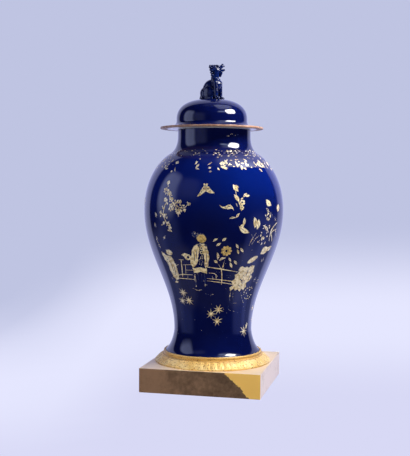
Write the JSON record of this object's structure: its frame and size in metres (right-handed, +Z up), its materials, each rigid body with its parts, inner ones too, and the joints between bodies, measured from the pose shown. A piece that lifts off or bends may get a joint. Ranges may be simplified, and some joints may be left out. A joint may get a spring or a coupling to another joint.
{
  "type": "lidded porcelain vase",
  "caption": "Baluster porcelain vase with a domed lion-knobbed cover, standing in a chased gilt bronze collar on a square gilt bronze plinth; the lid lifts off.",
  "frame": {"origin": "middle of the plinth's underside, on the vase's axis", "axes": "+Z up along the vase's axis; the plinth's front face looks along -Y, and the lion on the lid faces +X, turned a little towards -Y"},
  "size_m": [0.2902, 0.2902, 0.668],
  "materials": {
    "plinth_bronze": "gilt bronze, brown patina worn to gold at one corner",
    "ring_bronze": "bright gilt, chased leaf band",
    "body_glaze": "glossy powder-blue glaze with worn gilt painting",
    "lid_glaze": "glossy powder-blue glaze, copper-brown rim edge"
  },
  "bodies": {
    "root": {"plinth": "plinth_bronze", "foot_ring": "ring_bronze", "vase_body": "body_glaze", "lid": "lid_glaze"}
  },
  "joints": []
}
